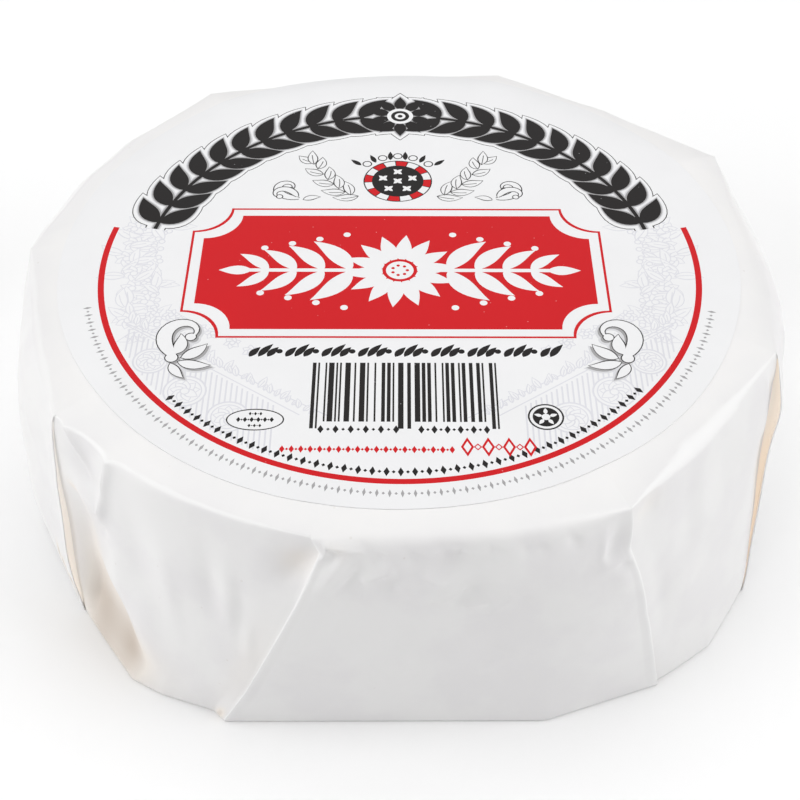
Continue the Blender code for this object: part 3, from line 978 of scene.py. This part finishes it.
def outlined_leaf(base, aim, length, width, bend, ink, line=FINE, rib=True):
    """A leaf drawn as its outline, with a rib along the first part of its middle line."""
    shapes = [(ink, leaf(base, aim, length, width, bend, line)),
              (WHITE, leaf(base, aim, length, width, bend))]
    if rib:
        turn = np.radians(aim + bend * np.linspace(0, 0.6, 5))
        path = np.vstack([np.zeros(2), rays(turn).cumsum(0)])
        shapes.append((ink, stroke(np.array(base) + path[:5] * length * 0.17, line * 0.8)))
    return shapes


def outlined_flower(middle, radius, petals, turn, ink):
    """Petals round a small disc, all drawn as outlines."""
    shapes = []
    for petal in range(petals):
        aim = turn + 360 * petal / petals
        shapes += outlined_leaf(middle, aim, radius, radius * 0.62, 0, ink, rib=False)
    return shapes + outlined_disc(middle, radius * 0.26, 12, ink)


def leafy_edge(draw):
    """Leaves in all directions along the ring's inside, with a flower after every sixth of them
    and a row of berries after every fifth."""
    shapes = []
    leaves = 46
    for step in range(leaves):
        along = 166 + 38 * (step + 0.5) / leaves
        spot = polar(draw.uniform(0.80, 0.935), along)
        aim = along - 90 + draw.uniform(-150, 150)
        size = draw.uniform(0.06, 0.10)
        shapes += outlined_leaf(spot, aim, size, size * 0.36, draw.uniform(-50, 50), LILAC)
        if step % 6 == 3:
            spot = polar(draw.uniform(0.84, 0.93), along)
            shapes += outlined_flower(spot, 0.040, 7, draw.uniform(0, 60), LILAC)
        if step % 5 == 1:
            for berry in range(5):
                spot = polar(0.80 + 0.05 * draw.uniform(0, 1), along + 0.9 * berry)
                shapes += outlined_disc(spot, 0.0085, 10, LILAC)
    return shapes


HATCH_LEFT, HATCH_RIGHT, HATCH_STEP, HATCH_WIDTH = -0.862, -0.37, 0.0165, 0.0055
HATCH_ROUND, HATCH_TOP, HATCH_FALL = 0.968, -0.335, 0.72
HATCH_EDGES = ((-0.875, -0.315), (-0.30, -0.722)), ((-0.885, -0.300), (-0.20, -0.735))
ROSETTES = ((-0.655, -0.620), 0.062), ((-0.515, -0.730), 0.060), ((-0.775, -0.485), 0.052)


def hatched_field():
    """Upright lines between a slanting top and a round foot, with two lines over them, and
    rosettes: a flower in two rings."""
    shapes = []
    for x in np.arange(HATCH_LEFT, HATCH_RIGHT, HATCH_STEP):
        top = HATCH_TOP - HATCH_FALL * (x - HATCH_LEFT)
        foot = -np.sqrt(HATCH_ROUND ** 2 - x * x)
        if top - foot > 0.02:
            right = x + HATCH_WIDTH
            shapes.append((LILAC, np.array([(x, foot), (right, foot), (right, top), (x, top)])))
    for first, second in HATCH_EDGES:
        middle = (np.array(first) + second) / 2
        shapes.append((LILAC, stroke([first, middle, second], FINE)))
    for middle, radius in ROSETTES:
        shapes += outlined_disc(middle, radius, 28, LILAC, 0.006)
        shapes += outlined_disc(middle, radius * 0.80, 28, LILAC)
        shapes += outlined_flower(middle, radius * 0.72, 9, 10, LILAC)
    return shapes


def slanting_hedge(draw):
    """Upright leaves over the hatched field's slanting top, smaller towards the middle, and a row
    of flowers at its upper end."""
    shapes = []
    leaves = 34
    for step in range(leaves):
        share = step / (leaves - 1)
        spot = np.array((-0.86, -0.30)) * (1 - share) + np.array((-0.27, -0.715)) * share
        size = draw.uniform(0.035, 0.075) * (1 - 0.45 * share)
        aim = draw.uniform(20, 120)
        shapes += outlined_leaf(spot, aim, size, size * 0.34, draw.uniform(-40, 40), LILAC)
    for step in range(7):
        spot = np.array((-0.80, -0.25)) + (0.055 * step, -0.030 * step)
        spot = spot + draw.uniform(-0.015, 0.015, 2)
        shapes += outlined_flower(spot, 0.026, 6, draw.uniform(0, 60), LILAC)
    return shapes


draw = np.random.default_rng(3)
pale_ground = leafy_edge(draw) + hatched_field() + slanting_hedge(draw)
lay_all(mirrored(pale_ground))

# The red ring is open at the top, and two rows of small marks run along it.
RING_WIDTH = 0.0205
lay(RED, arc_band(1 - RING_WIDTH, 1.0, 169, 371, 1.5))


def mark_row(spots, uprights, height, ink, slim):
    """A row of small upright ornaments, lozenges and dots in turn, at the spots given. uprights
    are their upright directions in degrees."""
    for number, (spot, upright) in enumerate(zip(spots, uprights)):
        tall = height * (1.0 if number % 2 == 0 else 0.36)
        wide = tall * (slim if number % 2 == 0 else 0.9)
        up, aside = polar(tall / 2, upright), polar(wide / 2, upright - 90)
        lay(ink, [spot - up, spot + aside, spot + up, spot - aside])


def round_marks(radius, first, last, count, height, ink, slim):
    """A row of marks along a circle, from one angle to the other, in degrees."""
    degrees = np.linspace(first, last, count)
    mark_row([polar(radius, turn) for turn in degrees], degrees, height, ink, slim)


def level_marks(left, right, y, count, height, ink, slim):
    """A level row of marks."""
    spots = [np.array((x, y)) for x in np.linspace(left, right, count)]
    mark_row(spots, [90] * count, height, ink, slim)


round_marks(0.952, -137, -40, 79, 0.036, BLACK, 0.5)
round_marks(1.036, -167, -14, 151, 0.030, MID, 0.34)

# A black garland of laurel closes the open top of the ring: two branches that meet under a daisy,
# inside a thin outline and with a soft grey shade round the black.
GARLAND = (0.0290, BLACK), (0.0250, WHITE), (0.0105, LIGHT), (0.0055, MID), (0.0, BLACK)
GARLAND_RADIUS, GARLAND_PAIRS, PAIR_STEP = 0.858, 11, 6.55


def garland(grow):
    """Each pair of leaves stands at one angle of the arc, and leans towards the top."""
    shapes = []
    for side in (-1, 1):
        for pair in range(GARLAND_PAIRS):
            turn = 90 + side * (75.5 - PAIR_STEP * pair)
            ahead = turn - side * 90
            for hand in (-1, 1):
                foot = polar(GARLAND_RADIUS, turn)
                shapes.append(leaf(foot, ahead + hand * 56, 0.158, 0.066, -hand * 30, grow, 11))
        stem = arc_points(GARLAND_RADIUS, 90 + side * 78, 90 + side * 9, 3)
        shapes.append(stroke(stem, 0.014 + 2 * grow))
    for petal in range(10):
        turn = 36 * petal + 18
        shapes.append(leaf(polar(GARLAND_RADIUS, 90) + polar(0.040, turn), turn, 0.086, 0.046, 0, grow))
    return shapes


for grow, ink in GARLAND:
    for points in garland(grow):
        lay(ink, points)
for radius, ink in ((0.049, WHITE), (0.034, BLACK), (0.020, WHITE), (0.009, BLACK)):
    lay(ink, disc(polar(GARLAND_RADIUS, 90), radius, steps=24))

# The red plate in the middle has scooped corners and a thin red line round it, and carries a
# white spray with a daisy in its middle.
PLATE_WIDTH, PLATE_HIGH, PLATE_LOW, SCOOP, PLATE_SHIFT = 0.655, 0.252, -0.336, 0.125, -0.012


def scooped_plate(grow):
    """A rectangle whose corners are cut out by quarter circles, moved outwards by grow."""
    side, top, low = PLATE_WIDTH + grow, PLATE_HIGH + grow, PLATE_LOW - grow
    corners = (side, top, 270), (-side, top, 0), (-side, low, 90), (side, low, 180)
    return np.vstack([arc_points(SCOOP, first, first - 90, 9, (PLATE_SHIFT + x, y))
                      for x, y, first in corners])


for grow, ink in ((0.0415, RED), (0.0330, WHITE), (0.0, RED)):
    lay(ink, scooped_plate(grow))

SPRAY_Y = -0.042
for side in (-1, 1):
    ahead = 90 - side * 90
    for pair in range(4):
        spot = (side * (0.160 + 0.092 * pair), SPRAY_Y)
        size = 0.205 - 0.024 * pair
        for hand in (-1, 1):
            lay(WHITE, leaf(spot, ahead + hand * (66 - 3 * pair), size, size * 0.33, -hand * 34, 0, 12))
            lay(WHITE, disc((spot[0] + side * 0.020, SPRAY_Y + hand * (size - 0.016)), 0.0125))
    lay(WHITE, leaf((side * 0.490, SPRAY_Y), ahead, 0.112, 0.046))
    lay(WHITE, stroke([(side * x, SPRAY_Y) for x in (0.06, 0.30, 0.52)], 0.017))
for petal in range(14):
    turn = 360 * petal / 14 + 6
    lay(WHITE, leaf(polar(0.046, turn) + (0, SPRAY_Y), turn, 0.142, 0.054))
lay(RED, disc((0, SPRAY_Y), 0.058, steps=28))
lay(WHITE, disc((0, SPRAY_Y), 0.046, steps=28))
for seed in range(7):
    lay(RED, disc(polar(0.025, 360 * seed / 7) + (0, SPRAY_Y), 0.0060, steps=8))

# Over the plate stands a black roundel with a chequered rim, between two outlined sprays.
ROUNDEL, ROUNDEL_RADIUS = np.array((-0.008, 0.455)), 0.118
lay_all(outlined_disc(ROUNDEL, ROUNDEL_RADIUS, 48, BLACK))
for field in range(16):
    first = 22.5 * field + 4
    if field % 2:
        lay(RED, arc_band(0.090, ROUNDEL_RADIUS, first, first + 22.5, 6, ROUNDEL))
    lay(BLACK, arc_band(0.090, ROUNDEL_RADIUS, first - 0.9, first + 0.9, 3, ROUNDEL))
lay(BLACK, disc(ROUNDEL, 0.092, 0, 40))
for flower in range(6):
    spot = ROUNDEL + (polar(0.055, 72 * flower + 18) if flower else 0)
    for petal in range(4):
        lay(WHITE, leaf(spot, 45 + 90 * petal, 0.021, 0.013, steps=6))
for side in (-1, 1):
    for number in range(3):
        bead = ROUNDEL + (side * 0.055 * number, 0.150 - 0.012 * number * number)
        lay_all(outlined_disc(bead, 0.0135, 16, BLACK))
        foot = ROUNDEL + (side * (0.027 + 0.052 * number), 0.126 - 0.016 * number)
        lay(BLACK, leaf(foot, 90 - side * 24 * number, 0.052, 0.019))
SPRAY_LINE, TENDRIL_LINE = 0.0036, 0.0038
TENDRILS = ((0.345, 0.352), 8, 0.21, 0.036, 330), ((0.352, 0.362), 62, 0.14, 0.030, -250)
spray = []
for number in range(9):
    share = number / 8
    spot = np.array((0.140 + 0.165 * share ** 0.9, 0.365 + 0.20 * share ** 1.5))
    aim = 30 + 42 * share
    side = 1 if number % 2 else -1
    size = 0.088 - 0.022 * share
    spray += outlined_leaf(spot, aim + side * 52, size, 0.034, -side * 34, BLACK, SPRAY_LINE)
spray += outlined_leaf((0.302, 0.556), 78, 0.080, 0.032, 12, BLACK, SPRAY_LINE)
for tendril in TENDRILS:
    outer, knob = volute(*tendril, TENDRIL_LINE)
    spray += [(BLACK, outer), (WHITE, volute(*tendril)[0])]
    spray += outlined_disc(knob, 0.0095, 12, BLACK, SPRAY_LINE)
spray += outlined_leaf((0.330, 0.345), 150, 0.060, 0.022, 30, BLACK, SPRAY_LINE, False)
lay_all((ink, points + (ROUNDEL[0], 0)) for ink, points in mirrored(spray))

# Under the plate: a row of slanting leaves, a block of upright bars, and red and black marks.
for number in range(34):
    spot = (-0.470 + 0.0285 * number, -0.465)
    if number % 4 == 3:
        lay(BLACK, disc((spot[0] + 0.008, -0.440), 0.0105, steps=12))
    else:
        lay(BLACK, leaf(spot, 62, 0.074 if number % 4 == 1 else 0.056, 0.024, -18))

BAR_LEFT, BAR_WIDTH, BAR_TOP, BAR_FOOT, GUARD_FOOT = -0.269, 0.568, -0.492, -0.749, -0.778
steps = np.random.default_rng(19).choice([1, 1, 1, 2, 2, 3], 59).astype(float)
edges = np.append(0, steps.cumsum()) / steps.sum()
for bar in range(30):
    left, right = BAR_LEFT + BAR_WIDTH * edges[2 * bar:2 * bar + 2]
    foot = GUARD_FOOT if bar in (0, 1, 14, 15, 28, 29) else BAR_FOOT
    lay(BLACK, [(left, foot), (right, foot), (right, BAR_TOP), (left, BAR_TOP)])
level_marks(-0.235, -0.010, -0.781, 11, 0.034, BLACK, 0.55)
level_marks(0.065, 0.260, -0.781, 11, 0.034, BLACK, 0.55)
level_marks(-0.345, 0.155, -0.863, 37, 0.030, RED, 0.55)
level_marks(0.200, 0.385, -0.851, 7, 0.078, RED, 0.50)
level_marks(0.200, 0.385, -0.851, 7, 0.046, WHITE, 0.50)

OVAL = np.array((-0.432, -0.742))
for grow, ink in ((FINE, BLACK), (0.0, WHITE)):
    lay(ink, disc(OVAL, 0.083, grow, 40, 0.5))
OVAL_MARKS = (0.050, 0, 11, 0.022), (0.016, 0.025, 5, 0.015), (0.016, -0.025, 5, 0.015)
for reach, rise, count, height in OVAL_MARKS:
    level_marks(OVAL[0] - reach, OVAL[0] + reach, OVAL[1] + rise, count, height, BLACK, 0.6)
BADGE = np.array((0.439, -0.727))
for radius, ink in ((0.0545, BLACK), (0.0490, WHITE), (0.0400, BLACK), (0.0130, WHITE)):
    lay(ink, disc(BADGE, radius, 0, 32))
for petal in range(5):
    lay(WHITE, leaf(BADGE + polar(0.012, 72 * petal + 18), 72 * petal + 18, 0.025, 0.013, steps=6))

# Two white sprays lie over the pale ground, outlined in black and with a soft shadow.
# Each layer: how far it is grown, its ink and its shift. Each leaf: its foot, aim, length, width
# and bend.
SPRAY_LAYERS = (
    (0.008, LIGHT, (0.010, -0.012)),
    (0.002, MID, (0.008, -0.009)),
    (0.0036, BLACK, (0, 0)),
    (0.0, WHITE, (0, 0)),
)
SPRAY_LEAVES = (
    ((-0.700, -0.452), 66, 0.095, 0.040, 40),
    ((-0.682, -0.470), 22, 0.100, 0.040, 36),
    ((-0.690, -0.488), -24, 0.105, 0.036, 30),
    ((-0.712, -0.496), -70, 0.080, 0.030, 30),
)
sprays = []
for grow, ink, shift in SPRAY_LAYERS:
    curl, knob = volute((-0.700, -0.470), 128, 0.30, 0.058, -290, grow)
    shapes = [curl, disc(knob, 0.016, grow), *(leaf(*measures, grow) for measures in SPRAY_LEAVES),
              disc((-0.712, -0.470), 0.019, grow)]
    sprays += [(ink, points + shift) for points in shapes]
lay_all(mirrored(sprays))


def inlaid_sheet(border, grid):
    """Cuts the face of the label along the outline of every printed shape. Returns the flat points
    in metres, the triangles and the ink of each, which is that of the last shape laid there."""
    outlines = [border] + [points * RING for _, points in printed]
    ends = np.cumsum([len(points) for points in outlines])
    faces = [list(range(end - len(points), end)) for end, points in zip(ends, outlines)]
    scale = 1 / MM
    places = [Vector(point) for point in (np.vstack(outlines + [grid]) * scale).tolist()]
    points, _, triangles, _, _, sources = delaunay_2d_cdt(places, [], faces, 1, 1e-4)
    inks = [0] + [ink for ink, _ in printed]
    return np.array(points) / scale, np.array(triangles), [inks[max(source)] for source in sources]


LABEL_SIDES = 240
# Points inside the face, so that it can bend: the share of the radius, and one side in how many.
GRID_RINGS = ((0.985, 2), (0.965, 2), (0.94, 2), (0.90, 4), (0.85, 4), (0.78, 5), (0.70, 5), (0.6, 6),
              (0.5, 8), (0.4, 10), (0.28, 12), (0.15, 24))
UNDER_RINGS = 1.0, 0.97, 0.94, 0.9, 0.8, 0.6, 0.35
turn = np.arange(LABEL_SIDES) * 2 * pi / LABEL_SIDES
shift = np.array(PRINT_OFFSET)              # from the label's middle to the print's
circle = rays(turn)
border = circle * LABEL_RADIUS - shift
grid = np.vstack([circle[::skip] * LABEL_RADIUS * reach - shift for reach, skip in GRID_RINGS])
flat, triangles, inks = inlaid_sheet(border, grid)
face_z = label_height(flat[:, 0], flat[:, 1])
rings = [circle * LABEL_RADIUS * reach - shift for reach in UNDER_RINGS]
under = np.vstack(rings + [np.zeros((1, 2)) - shift])
under_z = label_height(under[:, 0], under[:, 1]) - LABEL_THICKNESS
edge = [int(np.argmin(np.hypot(*(flat - point).T))) for point in border]
pole = len(flat) + LABEL_SIDES * len(rings)
starts = range(len(flat), pole, LABEL_SIDES)
loops = [edge] + [range(start, start + LABEL_SIDES) for start in starts]
quads, fans = [], []
for here in range(LABEL_SIDES):
    there = (here + 1) % LABEL_SIDES
    for outer, inner in zip(loops[:-1], loops[1:]):
        quads.append((outer[here], inner[here], inner[there], outer[there]))
    fans.append((loops[-1][here], pole, loops[-1][there]))
points = np.vstack([np.column_stack([flat, face_z]), np.column_stack([under, under_z])])
points[:, :2] += (PRINT_X, PRINT_Y)
label_mesh = bpy.data.meshes.new("printed_label")
label_mesh.from_pydata(points.tolist(), [], triangles.tolist() + quads + fans)
label = bpy.data.objects.new("printed_label", label_mesh)
bpy.context.scene.collection.objects.link(label)


def printed_paper(name, colour):
    """Smooth coated paper with one ink on it: slight clouds in the tone, fine grain in the gloss,
    and a pinhole here and there that the ink has left open."""
    material, shader, place = new_material(name, IOR=1.45, Specular_IOR_Level=0.22, Coat_Roughness=0.25)
    clouds = place.noise(6 * MM, 3)
    fibres = place.noise(0.20 * MM, 2, 0.6)
    pinhole = place.specks(1.3 * MM, 0.035, 0.055) * 0.30
    tone = clouds.blend((*(0.97 * part for part in colour), 1), (*(1.03 * part for part in colour), 1))
    tone = pinhole.blend(tone, (0.80, 0.80, 0.81, 1))
    feed(shader, {"Base Color": tone, "Roughness": 0.38 + clouds * 0.12,
                  "Normal": fibres.grain(0.15, 0.01 * MM), "Coat Weight": 0.02 + clouds * 0.04})
    return material


for name, colour in INKS:
    label_mesh.materials.append(printed_paper(name, colour))
label_mesh.polygons.foreach_set("material_index", inks + [0] * (len(quads) + len(fans)))
label_mesh.shade_smooth()
label_mesh.set_sharp_from_angle(angle=radians(40))
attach(label, "root")
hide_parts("label")
